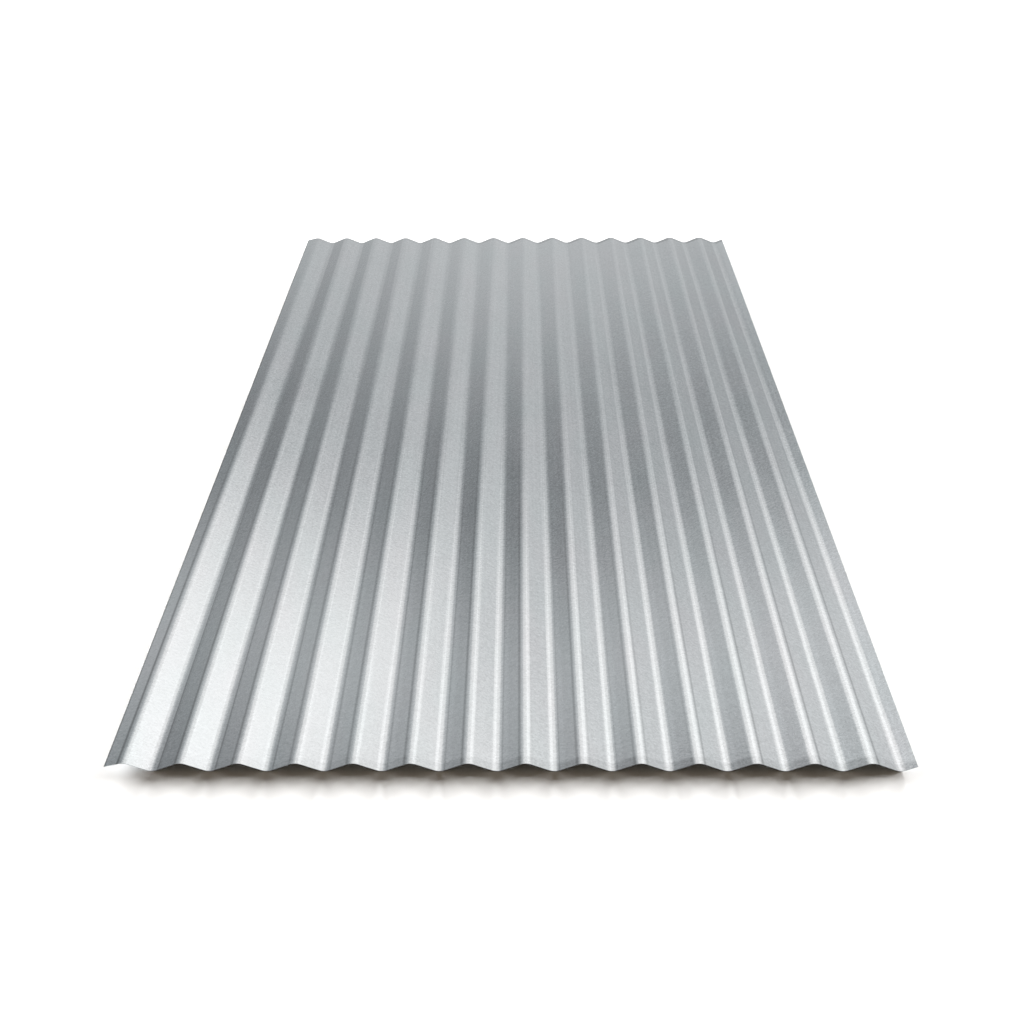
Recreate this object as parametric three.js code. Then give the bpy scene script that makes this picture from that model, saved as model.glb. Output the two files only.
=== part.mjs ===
// A corrugated steel sheet: one galvanised blank, roll-formed into round waves.
// Millimetres. X runs across the waves, Y along them and Z up. The troughs rest on Z = 0,
// and the origin is the middle of the sheet's underside.

import * as THREE from 'three';

// Driving dimensions
const SHEET_LENGTH = 1829; // along the waves, a six foot sheet
const SHEET_THICKNESS = 0.55; // 26 gauge steel with its zinc
const WAVE_PITCH = 67.7; // crest to crest, 2 2/3 inch
const WAVE_DEPTH = 11.3; // crest to trough, both at the sheet's mid-thickness
const WAVE_COUNT = 14; // each a crest and the trough to its right
const BEND_RADIUS = 17.5; // of each crest and trough, at the sheet's mid-thickness
const OVERLAP_EDGE_REACH = 21.7; // from the first crest out to the left edge
const OVERLAP_EDGE_SLOPE = THREE.MathUtils.degToRad(14); // eased open, to lie over a neighbour
const UNDERLAP_EDGE_REACH = 19.3; // from the last trough out to the right edge
const HALF_BEND_STEPS = 5; // from a flank's slope to the level facet in a bend's middle

// A flank joins each bend to the next as a common tangent. Over half a wave, two half bends
// and a flank of length L at slope s span 2 R sin(s) + L cos(s), half the pitch, and climb
// 2 R (1 - cos(s)) + L sin(s), the depth. Without L, that is an equation for s alone.
function flankSlope() {
  const span = WAVE_PITCH / 2;
  const climb = 2 * BEND_RADIUS - WAVE_DEPTH;
  return Math.asin((2 * BEND_RADIUS) / Math.hypot(span, climb)) - Math.atan2(climb, span);
}

// The corners of one bend, left to right, on the surface that lies offset above the
// mid-thickness. side is 1 on a crest and -1 on a trough. Each facet touches the true arc at
// its middle, so facing facets are parallel and the sheet keeps its thickness round the bend.
function bendPoints(middleX, side, slopeIn, slopeOut, offset) {
  const radius = BEND_RADIUS + side * offset;
  const centreZ = side * (WAVE_DEPTH / 2 - BEND_RADIUS);
  const points = [];
  for (let step = 0.5; step < 2 * HALF_BEND_STEPS; step += 1) {
    const endSlope = step < HALF_BEND_STEPS ? slopeIn : slopeOut;
    const slope = endSlope * Math.abs(1 - step / HALF_BEND_STEPS);
    const reach = (side * radius) / Math.cos(endSlope / HALF_BEND_STEPS / 2);
    points.push(new THREE.Vector2(middleX - reach * Math.sin(slope), centreZ + reach * Math.cos(slope)));
  }
  return points;
}

// A corner of the sheet's cut edge. Outside the last bend a straight flange runs on at slope,
// and at mid-thickness it ends reach from the bend's middle: left of a crest, right of a trough.
function edgePoint(middleX, side, reach, slope, offset) {
  const bendCentre = WAVE_DEPTH / 2 - BEND_RADIUS;
  const height = bendCentre + BEND_RADIUS / Math.cos(slope) - reach * Math.tan(slope);
  const x = middleX - side * reach - offset * Math.sin(slope);
  return new THREE.Vector2(x, side * height + offset * Math.cos(slope));
}

// One surface of the sheet, from the left edge to the right edge.
function surfacePoints(offset) {
  const slope = flankSlope();
  const points = [edgePoint(0, 1, OVERLAP_EDGE_REACH, OVERLAP_EDGE_SLOPE, offset)];
  for (let wave = 0; wave < WAVE_COUNT; wave += 1) {
    const crestX = wave * WAVE_PITCH;
    const troughX = crestX + WAVE_PITCH / 2;
    const slopeIn = wave === 0 ? OVERLAP_EDGE_SLOPE : slope;
    points.push(...bendPoints(crestX, 1, slopeIn, -slope, offset));
    points.push(...bendPoints(troughX, -1, -slope, slope, offset));
  }
  const lastTroughX = (WAVE_COUNT - 0.5) * WAVE_PITCH;
  points.push(edgePoint(lastTroughX, -1, UNDERLAP_EDGE_REACH, slope, offset));
  return points;
}

// The section is the lower surface and, back to the start, the upper one. It ends square to
// the sheet, as slitting knives leave it.
function sheetSection() {
  const lower = surfacePoints(-SHEET_THICKNESS / 2);
  const upper = surfacePoints(SHEET_THICKNESS / 2);
  return new THREE.Shape([...lower, ...upper.reverse()]);
}

function corrugatedSheet() {
  const geometry = new THREE.ExtrudeGeometry(sheetSection(), {
    depth: SHEET_LENGTH,
    bevelEnabled: false,
  });
  geometry.rotateX(Math.PI / 2);
  geometry.computeBoundingBox();
  const box = geometry.boundingBox;
  const middle = box.getCenter(new THREE.Vector3());
  geometry.translate(-middle.x, -middle.y, -box.min.z);
  const galvanisedSteel = new THREE.MeshStandardMaterial({
    color: 0xc4c8c9,
    roughness: 0.38,
    metalness: 1,
  });
  const mesh = new THREE.Mesh(geometry, galvanisedSteel);
  mesh.name = 'corrugated_sheet';
  return mesh;
}

const group = new THREE.Group();
group.add(corrugatedSheet());

export default group;
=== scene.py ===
import math

import bpy
from mathutils import Matrix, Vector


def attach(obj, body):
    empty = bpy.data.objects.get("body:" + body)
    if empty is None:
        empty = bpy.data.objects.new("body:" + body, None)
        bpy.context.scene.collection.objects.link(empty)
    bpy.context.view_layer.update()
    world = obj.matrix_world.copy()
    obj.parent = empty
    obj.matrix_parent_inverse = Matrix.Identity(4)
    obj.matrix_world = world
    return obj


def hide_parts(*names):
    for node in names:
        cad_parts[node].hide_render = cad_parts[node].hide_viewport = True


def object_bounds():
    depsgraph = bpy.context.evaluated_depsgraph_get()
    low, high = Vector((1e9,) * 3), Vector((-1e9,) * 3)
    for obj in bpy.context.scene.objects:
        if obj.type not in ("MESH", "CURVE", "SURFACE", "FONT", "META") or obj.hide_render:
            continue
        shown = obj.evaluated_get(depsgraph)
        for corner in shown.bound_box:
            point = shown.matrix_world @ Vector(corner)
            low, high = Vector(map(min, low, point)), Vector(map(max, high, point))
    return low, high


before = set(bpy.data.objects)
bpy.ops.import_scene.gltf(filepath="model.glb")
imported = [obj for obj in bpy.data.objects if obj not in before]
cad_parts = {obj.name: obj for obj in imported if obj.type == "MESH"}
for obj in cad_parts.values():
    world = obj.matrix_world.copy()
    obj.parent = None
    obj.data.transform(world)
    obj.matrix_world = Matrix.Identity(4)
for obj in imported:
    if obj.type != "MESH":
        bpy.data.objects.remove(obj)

cad_low, cad_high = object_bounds()

# ---------------------------------------------------------------------------------------
# Camera: it stands at the sheet's front end, a little right of its middle line, and looks
# down along the waves.
# ---------------------------------------------------------------------------------------
CAMERA_PLACE = (0.0123, -2.1625, 1.0876)
CAMERA_TURN = math.radians(-0.41)  # of the view, clockwise from +Y seen from above
CAMERA_DIP = math.radians(30.47)  # below the horizon
CAMERA_ROLL = math.radians(-0.254)
CAMERA_LENS_MM = 48.7
CAMERA_SENSOR_MM = 36.0

camera_data = bpy.data.cameras.new("camera")
camera_data.sensor_width = CAMERA_SENSOR_MM
camera_data.lens = CAMERA_LENS_MM
camera_data.clip_start = 0.05
camera_data.clip_end = 60.0
camera = bpy.data.objects.new("camera", camera_data)
aim = Matrix.Rotation(-CAMERA_TURN, 4, "Z") @ Matrix.Rotation(math.pi / 2 - CAMERA_DIP, 4, "X")
camera.matrix_world = Matrix.Translation(CAMERA_PLACE) @ aim @ Matrix.Rotation(CAMERA_ROLL, 4, "Z")
bpy.context.scene.collection.objects.link(camera)
bpy.context.scene.camera = camera
bpy.context.scene.view_settings.view_transform = "Standard"


# ---------------------------------------------------------------------------------------
# The sheet: one blank of galvanised steel, rolled between wave-shaped rollers, so that
# every bend is a round arc and every flank between two bends is flat. Its left edge is
# eased open to lie over the next sheet, and its right edge turns up to lie under one.
# ---------------------------------------------------------------------------------------
SHEET_SIZES = {
    "Length": 1.829,
    "Thickness": 0.00055,
    "Pitch": 0.0677,
    "Depth": 0.0113,
    "Bend Radius": 0.0175,
    "Overlap Reach": 0.0217,
    "Overlap Slope": math.radians(14),
    "Underlap Reach": 0.0193,
    "Depth Lost": 0.012,  # the most, as a share, where the rollers bit less
}
WAVES = 14
BEND_STEPS = 12  # along each arc
FLANK_INSET = 0.0015  # a point this far along a flank keeps the flank flat in smooth shading
LENGTH_STEPS = 72
NUDGE = 0.001  # keeps a whole number from being rounded down to the one below
WELD_REACH = 1e-6
CRISP_BEND = 1.0  # in radians: an edge that turns by more was cut, not rolled
BITE_CHANGES = (9.0, 2.2, 0.0)  # of the rollers' bite, a metre across and along
BITE_SEED = 5


def flank_slope(pitch, depth, radius):
    climb = 2 * radius - depth
    return math.asin(2 * radius / math.hypot(pitch / 2, climb)) - math.atan2(climb, pitch / 2)


class Field:
    """A value in a node tree, with the operators that the trees below use."""

    tree = None

    def __init__(self, socket):
        self.socket = socket

    @classmethod
    def node(cls, kind, inputs=None, output=0, **settings):
        made = cls.tree.nodes.new(kind)
        for name, value in settings.items():
            setattr(made, name, value)
        for name, value in (inputs or {}).items():
            socket = cls.open_socket(made, name)
            if isinstance(value, Field):
                cls.tree.links.new(value.socket, socket)
            elif hasattr(value, "node"):
                cls.tree.links.new(value, socket)
            else:
                socket.default_value = value
        return cls(made.outputs[output]) if output is not None else made

    @staticmethod
    def open_socket(made, name):
        if isinstance(name, int):
            return made.inputs[name]
        return next(s for s in made.inputs if s.name == name and s.enabled)

    def maths(self, operation, *others):
        return Field.node("ShaderNodeMath", dict(enumerate((self, *others))), operation=operation)

    def __add__(self, other):
        return self.maths("ADD", other)

    def __sub__(self, other):
        return self.maths("SUBTRACT", other)

    def __mul__(self, other):
        return self.maths("MULTIPLY", other)

    def __truediv__(self, other):
        return self.maths("DIVIDE", other)

    def __radd__(self, other):
        return self + other

    def __rmul__(self, other):
        return self * other

    def __rsub__(self, other):
        return self * -1 + other

    def __neg__(self):
        return self * -1


def sheet_tree(material):
    tree = bpy.data.node_groups.new("roll_formed_sheet", "GeometryNodeTree")
    tree.interface.new_socket("Geometry", in_out="OUTPUT", socket_type="NodeSocketGeometry")
    for name in [*SHEET_SIZES, "Flank Slope"]:
        tree.interface.new_socket(name, in_out="INPUT", socket_type="NodeSocketFloat")
    tree.interface.new_socket("Waves", in_out="INPUT", socket_type="NodeSocketInt")
    tree.interface.new_socket("Seed", in_out="INPUT", socket_type="NodeSocketInt")
    Field.tree = tree
    given = tree.nodes.new("NodeGroupInput")
    size = {s.name: Field(s) for s in given.outputs if s.name}

    # The blank: a grid with a column for each point of the section and a row for each step
    # of the length, its columns numbered by their own x and its rows by their own y.
    bend_columns = BEND_STEPS + 3
    last = size["Waves"] * (2 * bend_columns) + 1
    blank = Field.node("GeometryNodeMeshGrid", {
        "Size X": last,
        "Size Y": float(LENGTH_STEPS),
        "Vertices X": last + 1,
        "Vertices Y": LENGTH_STEPS + 1,
    })
    place = Field.node("GeometryNodeInputPosition")
    across = Field.node("ShaderNodeSeparateXYZ", {0: place}, 0)
    along = Field.node("ShaderNodeSeparateXYZ", {0: place}, 1)
    column = (across + last / 2.0).maths("ROUND")

    # Which bend a column belongs to, counted from the left, and its place in that bend.
    inner = (column - 1).maths("MAXIMUM", 0).maths("MINIMUM", last - 2)
    bend = (inner / bend_columns + NUDGE).maths("FLOOR")
    step = inner - bend * bend_columns
    side = 1 - 2 * (bend - 2 * (bend / 2 + NUDGE).maths("FLOOR"))
    turn = ((step - 1) / BEND_STEPS).maths("MAXIMUM", 0).maths("MINIMUM", 1) * 2 - 1
    in_overlap = column.maths("LESS_THAN", 1.5 + BEND_STEPS / 2)
    flank = size["Flank Slope"]
    end_slope = flank + in_overlap * (size["Overlap Slope"] - flank)
    slope = -side * turn * end_slope

    # How far past its arc's end a point lies: a little on the flanks, and the whole flange
    # at the sheet's two edges.
    tangent = slope.maths("TANGENT").maths("ABSOLUTE")
    at_left = column.maths("LESS_THAN", 0.5)
    at_right = column.maths("GREATER_THAN", last - 0.5)
    reach = at_left * size["Overlap Reach"] + at_right * size["Underlap Reach"]
    flange = reach / slope.maths("COSINE") - size["Bend Radius"] * tangent
    at_edge = at_left + at_right
    past = at_edge * flange + (1 - at_edge) * FLANK_INSET
    outside = step.maths("GREATER_THAN", BEND_STEPS + 1.5) - step.maths("LESS_THAN", 0.5)
    past = past * outside

    # The lower surface, with the middle of its footprint at the origin.
    sine, cosine = slope.maths("SINE"), slope.maths("COSINE")
    radius, half = size["Bend Radius"], size["Thickness"] / 2
    x = bend * size["Pitch"] / 2 - side * radius * sine + past * cosine + half * sine
    z = side * (size["Depth"] / 2 - radius + radius * cosine) + past * sine - half * cosine
    whole = (size["Waves"] - 0.5) * size["Pitch"] + size["Underlap Reach"] + half * flank.maths("SINE")
    out_left = size["Overlap Reach"] + half * size["Overlap Slope"].maths("SINE")
    x = x - (whole - out_left) / 2
    z = z + size["Depth"] / 2 + half
    y = along * size["Length"] / LENGTH_STEPS
    lower = Field.node("ShaderNodeCombineXYZ", {0: x, 1: y, 2: z})
    through = Field.node("ShaderNodeCombineXYZ", {0: -sine, 1: 0.0, 2: cosine})
    kept = Field.node("GeometryNodeStoreNamedAttribute", {
        "Geometry": blank,
        "Name": "through",
        "Value": through,
    }, data_type="FLOAT_VECTOR", domain="POINT")
    under = Field.node("GeometryNodeSetPosition", {"Geometry": kept, "Position": lower})

    # The upper surface and the cut edges are extruded from it, square to the steel.
    raised = tree.nodes.new("GeometryNodeExtrudeMesh")
    raised.mode = "FACES"
    raised.inputs["Offset Scale"].default_value = 0.0
    raised.inputs["Individual"].default_value = False
    tree.links.new(under.socket, raised.inputs["Mesh"])
    normal = Field.node("GeometryNodeInputNamedAttribute", {"Name": "through"}, data_type="FLOAT_VECTOR")
    lift = Field.node("ShaderNodeVectorMath", {0: normal, "Scale": size["Thickness"]}, operation="SCALE")
    over = Field.node("GeometryNodeSetPosition", {
        "Geometry": raised.outputs["Mesh"],
        "Selection": raised.outputs["Top"],
        "Offset": lift,
    })
    smooth_under = Field.node("GeometryNodeSetShadeSmooth", {"Geometry": under, "Shade Smooth": True})
    smooth_over = Field.node("GeometryNodeSetShadeSmooth", {
        "Geometry": over,
        "Selection": raised.outputs["Top"],
        "Shade Smooth": True,
    })
    smooth_over = Field.node("GeometryNodeSetShadeSmooth", {
        "Geometry": smooth_over,
        "Selection": raised.outputs["Side"],
        "Shade Smooth": False,
    })
    flipped = Field.node("GeometryNodeFlipFaces", {"Mesh": smooth_under})
    join = tree.nodes.new("GeometryNodeJoinGeometry")
    tree.links.new(flipped.socket, join.inputs[0])
    tree.links.new(smooth_over.socket, join.inputs[0])
    welded = Field.node("GeometryNodeMergeByDistance", {
        "Geometry": join.outputs[0],
        "Distance": WELD_REACH,
    })

    # Arcs and flanks shade smoothly, and the cut edges stay crisp.
    bent = Field.node("GeometryNodeInputMeshEdgeAngle", output="Unsigned Angle")
    crisp = Field.node("GeometryNodeSetShadeSmooth", {
        "Geometry": welded,
        "Selection": bent.maths("GREATER_THAN", CRISP_BEND),
        "Shade Smooth": False,
    }, domain="EDGE")

    # The rollers bit a little less in places, so the waves are not all equally deep.
    spot = Field.node("ShaderNodeVectorMath", {0: place, 1: BITE_CHANGES}, operation="MULTIPLY")
    bite = Field.node("ShaderNodeTexNoise", {
        "Vector": spot,
        "W": size["Seed"],
        "Scale": 1.0,
        "Detail": 1.0,
    }, noise_dimensions="4D")
    height = Field.node("ShaderNodeSeparateXYZ", {0: place}, 2)
    bite = bite.maths("MAXIMUM", 0).maths("MINIMUM", 1)
    sunk = Field.node("ShaderNodeCombineXYZ", {2: -height * bite * size["Depth Lost"]})
    uneven = Field.node("GeometryNodeSetPosition", {"Geometry": crisp, "Offset": sunk})
    plain = Field.node("GeometryNodeRemoveAttribute", {"Geometry": uneven, "Name": "through"})
    real = Field.node("GeometryNodeRealizeInstances", {"Geometry": plain})
    done = Field.node("GeometryNodeSetMaterial", {"Geometry": real, "Material": material})
    result = tree.nodes.new("NodeGroupOutput")
    tree.links.new(done.socket, result.inputs[0])
    return tree


def ramp(value, start, full):
    """A smooth rise from 0 at start to 1 at full, which may lie on either side of it."""
    return Field.node("ShaderNodeMapRange", {
        "Value": value,
        "From Min": start,
        "From Max": full,
    }, interpolation_type="SMOOTHSTEP")


# The finish. Places across and along the sheet are in metres from its middle, and two of them
# are where a change starts and where it is full. A place in the wave is a share of the pitch
# to the right of a crest.
ZINC = (0.708, 0.754, 0.768, 1.0)
ZINC_WARMER = (0.731, 0.752, 0.772, 1.0)
ZINC_CAST_CONTRAST = 2.2
STEEL_ROUGHNESS = 0.15
RELIEF_STRENGTH = 0.35
RELIEF_HEIGHT = 0.00008

CRYSTALS_A_METRE = 430.0
MARK_DETAIL = 2.0
MARKS = {
    # marks a metre, and how much of that across, along and up
    "frost": (700.0, (1.0, 1.0, 1.0)),
    "mottle": (230.0, (1.0, 1.0, 1.0)),
    "drawn": (240.0, (1.0, 0.012, 1.0)),  # lines along the waves, from the rollers
    "chatter": (330.0, (0.05, 1.0, 0.05)),  # faint marks straight across
    "cloud": (7.0, (1.0, 1.0, 1.0)),
    "worn": (60.0, (0.4, 1.0, 0.4)),
    "cast": (16.0, (1.0, 0.35, 1.0)),
}
GRAIN_SHARES = {"crystal": 0.14, "frost": 0.17, "mottle": 0.14, "drawn": 0.09, "chatter": 0.08}
ROUGHNESS_SHARES = {"crystal": 0.04, "drawn": 0.05, "cloud": 0.06}
RELIEF_SHARES = {"crystal": 0.4, "frost": 1.0, "mottle": 2.0, "chatter": 0.5}
CLOUD_SHARE = 0.05

RIGHTWARD = (-0.45, 0.25)
FRONTWARD = (0.1, -0.8)
BACKWARD = (0.1, 0.7)
# Painted reflection: dark lines beside the bends and a pale band, painted into the colour and fading out
# toward the back.
PAINTED_LINES_SHIFT = (-0.45, -0.1)
PAINTED_LINES = {
    # place in the wave, its shift to the left past the first waves, half width, dullness, and
    # across the sheet where it starts and is full
    "left of each crest": (0.918, 0.03, 0.04, 0.3, 0.35, 0.0),
    "left of the first crests": (0.918, 0.03, 0.04, 0.2, -0.25, -0.4),
    "right of each valley": (0.59, 0.0, 0.02, 0.18, 0.3, 0.0),
    "right of the left-hand valleys": (0.607, 0.0, 0.022, 0.34, -0.1, -0.35),
    "right of the first valleys": (0.64, 0.0, 0.03, 0.12, -0.3, -0.45),
    "right of the right-hand crests": (0.105, 0.0, 0.034, 0.32, -0.05, 0.35),
    "pale band above the valleys": (0.64, 0.0, 0.09, -0.09, -0.3, -0.12),
}
# A dark line of painted shade along the left edge, a little in from it.
LEFT_EDGE_LINE = (0.003, 0.0006)  # in from the edge
LEFT_EDGE_PAINTED_SHADE = 0.35
# The right flange is painted paler: a painted highlight.
RIGHT_FLANGE = (0.019, 0.004)  # in from the edge
RIGHT_FLANGE_PAINTED_HIGHLIGHT = 0.12

LEFT_SIDES = (0.74, 0.22, 0.16)  # place in the wave, half width with its soft edge, and without
RIGHT_SIDES = (0.26, 0.2, 0.12)
CREST_BENDS = (0.03, 0.13)
VALLEY_BENDS = (0.46, 0.13)
END_BAND = (0.898, 0.904)
END_BAND_RAGGED = 0.012
END_BAND_DULLNESS = 0.03
END_BAND_DULLER_RIGHTWARD = 0.07
END_BAND_DULLER_ON_LEFT_SIDES = 0.14
END_BAND_ROUGHER = 0.2
# Grain painted fainter there, standing in for a highlight.
FIRST_RIGHT_SIDES_WASHED_OUT = 0.45
BENDS_SMOOTHER = 0.06
BENDS_SMOOTHER_RIGHTWARD = 0.14
BACK_SMOOTHER = 0.2
FRONT_LESS_SMOOTH = 0.15
CUT_END_FACES_ALONG = 0.8  # of its direction
CUT_END_ROUGHER = 0.45


def galvanised_steel(left_edge, right_edge, first_crest):
    material = bpy.data.materials.new("galvanised_steel")
    material.use_nodes = True
    Field.tree = material.node_tree
    Field.tree.nodes.clear()
    place = Field.node("ShaderNodeTexCoord", output="Object")
    x, y = (Field.node("ShaderNodeSeparateXYZ", {0: place}, axis) for axis in range(2))
    rightward = ramp(x, *RIGHTWARD)
    frontward = ramp(y, *FRONTWARD)
    wave = (x - first_crest) / SHEET_SIZES["Pitch"]

    def noise(scale, stretch):
        spot = Field.node("ShaderNodeVectorMath", {0: place, 1: stretch}, operation="MULTIPLY")
        sizes = {"Vector": spot, "Scale": scale, "Detail": MARK_DETAIL}
        return Field.node("ShaderNodeTexNoise", sizes) - 0.5

    def mixed(shares):
        return sum(marks[name] * share for name, share in shares.items())

    def band(middle, outer, inner=0.0):
        away = ((wave - middle + 0.5).maths("FRACT") - 0.5).maths("ABSOLUTE")
        return ramp(away, outer, inner)

    # The zinc froze in small crystals, each a little lighter or darker than the next.
    frozen = {"Vector": place, "Scale": CRYSTALS_A_METRE}
    crystal = Field.node("ShaderNodeTexVoronoi", frozen, output="Color")
    marks = {"crystal": Field.node("ShaderNodeSeparateColor", {"Color": crystal}) - 0.5}
    marks.update((name, noise(*sizes)) for name, sizes in MARKS.items())

    # Fine dark lines of painted reflection beside the bends: on the left of the crests
    # and the right of the valleys from the left edge to past the middle, and on the right
    # of the crests in the right half. The flank above each valley is painted paler, a
    # painted highlight, but for the first waves.
    shifted = ramp(x, *PAINTED_LINES_SHIFT)
    painted_lines = 0.0
    for middle, shift, half_width, dullness, start, full in PAINTED_LINES.values():
        line = band(middle - shifted * shift, half_width)
        painted_lines = painted_lines + line * ramp(x, start, full) * dullness
    # Painted shade: a dark line along the left edge.
    painted_lines = painted_lines * frontward + ramp(x - left_edge, *LEFT_EDGE_LINE) * LEFT_EDGE_PAINTED_SHADE

    # Each end is darker and rougher in a ragged band, more toward the right, and most on
    # the waves' left sides.
    ragged_ends = ramp(y.maths("ABSOLUTE") + marks["worn"] * END_BAND_RAGGED, *END_BAND)
    duller = END_BAND_DULLNESS + rightward * END_BAND_DULLER_RIGHTWARD
    ragged_ends = ragged_ends * (duller + band(*LEFT_SIDES) * rightward * END_BAND_DULLER_ON_LEFT_SIDES)

    # The rollers left the bends smoother, and the steel is smoother toward the back than
    # toward the front. On the right-facing flanks of the first waves the grain is painted
    # fainter, standing in for their bright highlight washing it out.
    grain_evened = band(*RIGHT_SIDES) * frontward * (1 - rightward) * FIRST_RIGHT_SIDES_WASHED_OUT
    bends = band(*CREST_BENDS) + band(*VALLEY_BENDS)
    grain_evened = grain_evened + bends * (BENDS_SMOOTHER + rightward * BENDS_SMOOTHER_RIGHTWARD)
    grain_evened = grain_evened + ramp(y, *BACKWARD) * BACK_SMOOTHER - frontward * FRONT_LESS_SMOOTH

    tone = 1 + mixed(GRAIN_SHARES) * (1 - grain_evened) + marks["cloud"] * CLOUD_SHARE
    # The painted lines of reflection and shade darken the colour.
    tone = tone * (1 - painted_lines) - ragged_ends
    # Painted highlight on the right flange.
    tone = tone + ramp(right_edge - x, *RIGHT_FLANGE) * RIGHT_FLANGE_PAINTED_HIGHLIGHT
    cast = Field.node("ShaderNodeMix", {
        "Factor": marks["cast"] * ZINC_CAST_CONTRAST + 0.5,
        "A": ZINC,
        "B": ZINC_WARMER,
    }, output=2, data_type="RGBA")
    colour = Field.node("ShaderNodeVectorMath", {0: cast, "Scale": tone}, operation="SCALE")
    facing = Field.node("ShaderNodeTexCoord", output="Normal")
    facing_along = Field.node("ShaderNodeSeparateXYZ", {0: facing}, 1).maths("ABSOLUTE")
    cut_end = facing_along.maths("GREATER_THAN", CUT_END_FACES_ALONG)
    roughness = STEEL_ROUGHNESS + mixed(ROUGHNESS_SHARES)
    roughness = roughness + ragged_ends * END_BAND_ROUGHER + cut_end * CUT_END_ROUGHER
    relief = Field.node("ShaderNodeBump", {
        "Height": mixed(RELIEF_SHARES) * (1 - grain_evened),
        "Strength": RELIEF_STRENGTH,
        "Distance": RELIEF_HEIGHT,
    })
    shader = Field.node("ShaderNodeBsdfPrincipled", {
        "Base Color": colour,
        "Metallic": 1.0,
        "Roughness": roughness,
        "Normal": relief,
    })
    Field.node("ShaderNodeOutputMaterial", {"Surface": shader}, output=None)
    return material


def corrugated_sheet():
    carrier = bpy.data.objects.new("sheet_carrier", bpy.data.meshes.new("sheet_carrier"))
    bpy.context.scene.collection.objects.link(carrier)
    flange_lean = SHEET_SIZES["Thickness"] / 2 * math.sin(SHEET_SIZES["Overlap Slope"])
    first_crest = cad_low[0] + SHEET_SIZES["Overlap Reach"] + flange_lean
    tree = sheet_tree(galvanised_steel(cad_low[0], cad_high[0], first_crest))
    modifier = carrier.modifiers.new("roll_forming", "NODES")
    modifier.node_group = tree
    flank = flank_slope(SHEET_SIZES["Pitch"], SHEET_SIZES["Depth"], SHEET_SIZES["Bend Radius"])
    values = {**SHEET_SIZES, "Flank Slope": flank, "Waves": WAVES, "Seed": BITE_SEED}
    for item in tree.interface.items_tree:
        if item.in_out == "INPUT":
            modifier[item.identifier] = values[item.name]
    evaluated = carrier.evaluated_get(bpy.context.evaluated_depsgraph_get())
    mesh = bpy.data.meshes.new_from_object(evaluated)
    bpy.data.objects.remove(carrier)
    mesh.materials.pop(index=0)  # the grid's own empty slot
    sheet = bpy.data.objects.new("galvanised_sheet", mesh)
    bpy.context.scene.collection.objects.link(sheet)
    return sheet


sheet = corrugated_sheet()
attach(sheet, "root")
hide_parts("corrugated_sheet")

# ---------------------------------------------------------------------------------------
# Floor: a plain pale studio floor, painted matt. Its own lamps, low behind the sheet and very
# soft, light it to white and lay the sheet's shadow in front. The metal doesn't mirror them.
# ---------------------------------------------------------------------------------------
FLOOR_HALF_SIDE = 40.0
FLOOR_LEVEL = -0.0002  # just clear of the troughs
FLOOR_COLOUR = (0.8, 0.8, 0.8, 1.0)
FLOOR_COLOUR_IN_METAL = (0.3, 0.3, 0.3, 1.0)
FLOOR_LAMPS = [
    # degrees to either side of straight behind, above the floor and across, share of white
    (2, 1.7, 3, 0.11),
    (10, 1.7, 3, 0.135),
    (30, 6.4, 10, 0.125),
    (40, 8.5, 10, 0.075),
    (50, 10.5, 10, 0.055),
    (60, 8.5, 10, 0.15),
    (70, 6.4, 10, 0.19),
]

floor_mesh = bpy.data.meshes.new("floor")
side = FLOOR_HALF_SIDE
floor_mesh.from_pydata(
    [(-side, -side, 0), (side, -side, 0), (side, side, 0), (-side, side, 0)], [], [(0, 1, 2, 3)]
)
floor = bpy.data.objects.new("floor", floor_mesh)
floor.location.z = FLOOR_LEVEL
bpy.context.scene.collection.objects.link(floor)
paint = bpy.data.materials.new("floor_paint")
paint.use_nodes = True
Field.tree = paint.node_tree
Field.tree.nodes.clear()
matt = Field.node("ShaderNodeBsdfDiffuse", {"Color": FLOOR_COLOUR})
in_metal = Field.node("ShaderNodeBsdfDiffuse", {"Color": FLOOR_COLOUR_IN_METAL})
# The metal shows the floor darker, but the floor under the sheet gets the floor's full light.
mirrored = Field.node("ShaderNodeLightPath", output="Is Glossy Ray")
bounced = Field.node("ShaderNodeLightPath", output="Diffuse Depth")
mirrored = mirrored * bounced.maths("LESS_THAN", 0.5)
surface = Field.node("ShaderNodeMixShader", {0: mirrored, 1: matt, 2: in_metal})
Field.node("ShaderNodeOutputMaterial", {"Surface": surface}, output=None)
floor_mesh.materials.append(paint)

for azimuth, elevation, spread, share in FLOOR_LAMPS:
    for angle in (-azimuth, azimuth):
        data = bpy.data.lights.new("floor_lamp", "SUN")
        data.energy = share * math.pi / (FLOOR_COLOUR[1] * math.sin(math.radians(elevation)))
        data.angle = math.radians(spread)
        lamp = bpy.data.objects.new("floor_lamp", data)
        turn = Matrix.Rotation(math.radians(angle), 4, "Z")
        lamp.matrix_world = turn @ Matrix.Rotation(math.radians(elevation - 90), 4, "X")
        lamp.visible_glossy = False
        bpy.context.scene.collection.objects.link(lamp)

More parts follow.
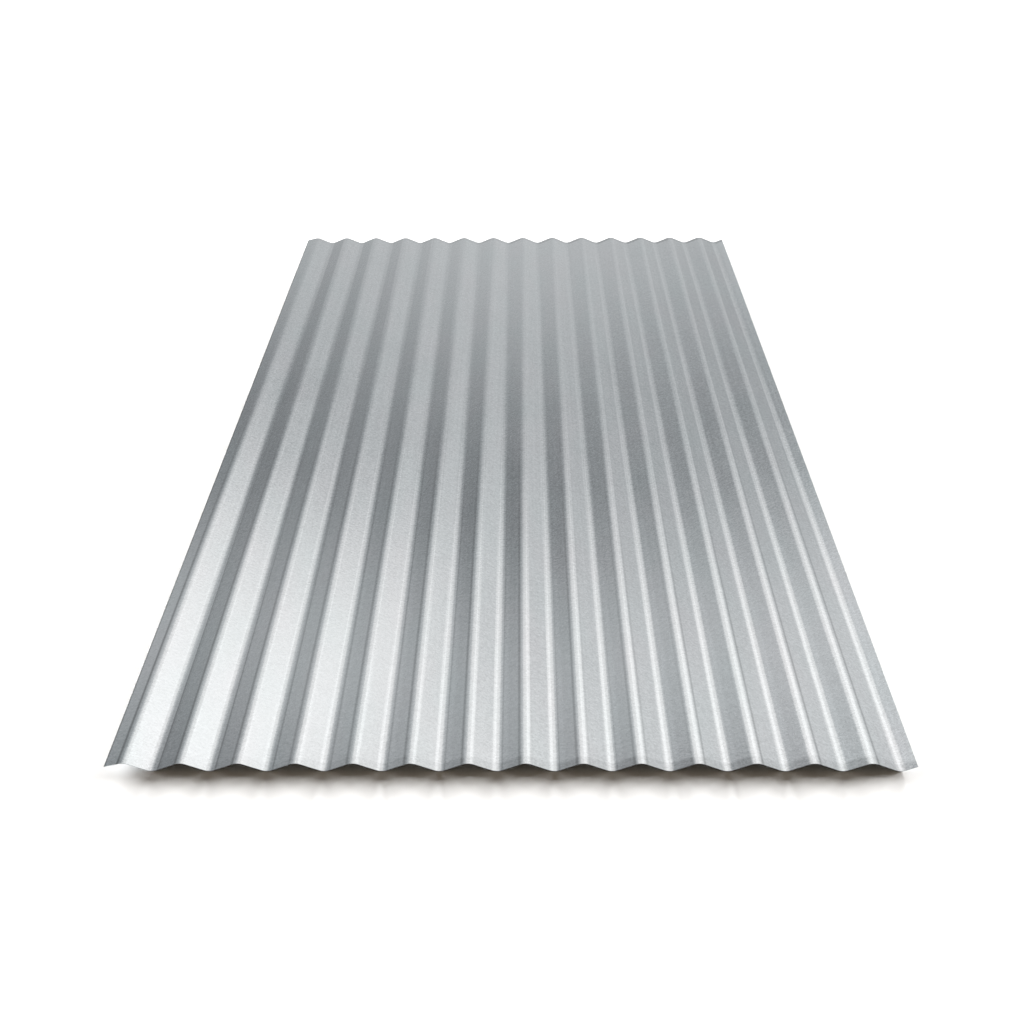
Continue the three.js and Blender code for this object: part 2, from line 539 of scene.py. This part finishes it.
# ---------------------------------------------------------------------------------------
# Studio: what the steel mirrors. A pale room with soft boxes above, a pale wall low behind
# the sheet, and darker gaps between them.
# ---------------------------------------------------------------------------------------
ROOM_LEVEL = 0.6
ROOM_PALER_ABOVE = 0.3
ROOM_RISE = (20.0, 80.0)  # degrees above the horizon, where it starts and is full
DARKEST = 0.1
ROOM_LEVEL_ON_FLOOR = 0.11  # it leaves the sheet's shadow dark
TINT_OF_SHADE = (0.95, 1.0, 1.04, 1.0)
TINT_OF_LIGHT = (1.025, 1.0, 0.987, 1.0)
TINT_ON_FLOOR = (1.2, 1.0, 0.77, 1.0)
WHITE = (1.0, 1.0, 1.0, 1.0)
SOFT_PATCHES = {
    # strength, azimuth from, to, softness, elevation from, to, softness
    "the room is dimmer behind the sheet": (-0.15, -75, 75, 30, -90, 60, 30),
    "great soft box overhead": (1.2, -19.5, 28, 42, 20.5, 50, 11),
    "its dimmer upper part": (-0.67, -13.5, 22.5, 20, 25.5, 50, 16),
    "its bright strip": (0.3, 8.5, 25, 3, 26, 47, 3),
    "dark gap below it": (-0.9, -21.5, 21, 18, 21, 30, 11),
    "pale wall low behind the sheet": (0.2, -26.5, 18, 10, -30, 17, 6),
    "pale wall on the right": (0.3, 31.5, 46, 11, -30, 33.5, 5),
    "window on the left": (1.0, -33, -32, 19, 13.5, 23.5, 8),
    "dark gap beside the window": (-0.38, -28.5, -19, 18, -30, 24.5, 4),
    "dark left of the room": (-0.2, -66, -28.5, 27, -30, 60, 10),
    "dark gap above the right wall": (-0.2, 23.5, 60, 7, 21, 28, 3),
    "dark gap above the window": (-0.5, -35.5, -13, 3, 33.5, 42.5, 14),
    "ceiling": (-0.35, -200, 200, 1, 65, 100, 20),
    "dim foot of the right wall": (-0.35, 48, 120, 12, -90, 12, 16),
    "dim foot of the left wall": (-0.2, -120, -80, 20, -90, 24, 14),
    "soft box high on the right": (0.3, 80, 120, 20, 30, 56, 10),
    "soft box high on the left": (0.3, -120, -80, 20, 30, 56, 10),
}

world = bpy.data.worlds.new("studio")
bpy.context.scene.world = world
world.use_nodes = True
world.cycles.sampling_method = "NONE"
Field.tree = world.node_tree
Field.tree.nodes.clear()
way = Field.node("ShaderNodeTexCoord", output="Generated")
x, y, z = (Field.node("ShaderNodeSeparateXYZ", {0: way}, axis) for axis in range(3))
turn = x.maths("ARCTAN2", y) / math.pi + 0.5
azimuth = (turn.maths("FRACT") - 0.5) * 180  # the room repeats itself half a turn on
elevation = z.maths("ARCSINE").maths("DEGREES")


def between(value, low, high, softness):
    half = softness / 2
    return ramp(value, low - half, low + half) * ramp(value, high + half, high - half)


light = ramp(elevation, *ROOM_RISE) * ROOM_PALER_ABOVE + ROOM_LEVEL
for strength, left, right, side_soft, bottom, top, end_soft in SOFT_PATCHES.values():
    patch = between(azimuth, left, right, side_soft) * between(elevation, bottom, top, end_soft)
    light = light + patch * strength
light = light.maths("MAXIMUM", DARKEST)
mirrored = Field.node("ShaderNodeLightPath", output="Is Glossy Ray")
seen = Field.node("ShaderNodeLightPath", output="Is Camera Ray")
level = mirrored * light + seen + (1 - mirrored - seen) * ROOM_LEVEL_ON_FLOOR
tint = Field.node("ShaderNodeMix", {
    "Factor": light,
    "A": TINT_OF_SHADE,
    "B": TINT_OF_LIGHT,
}, output=2, data_type="RGBA")
plain = Field.node("ShaderNodeMix", {
    "Factor": seen,
    "A": TINT_ON_FLOOR,
    "B": WHITE,
}, output=2, data_type="RGBA")
tint = Field.node("ShaderNodeMix", {"Factor": mirrored, "A": plain, "B": tint}, output=2, data_type="RGBA")
sky = Field.node("ShaderNodeBackground", {"Color": tint, "Strength": level})
Field.node("ShaderNodeOutputWorld", {"Surface": sky}, output=None)
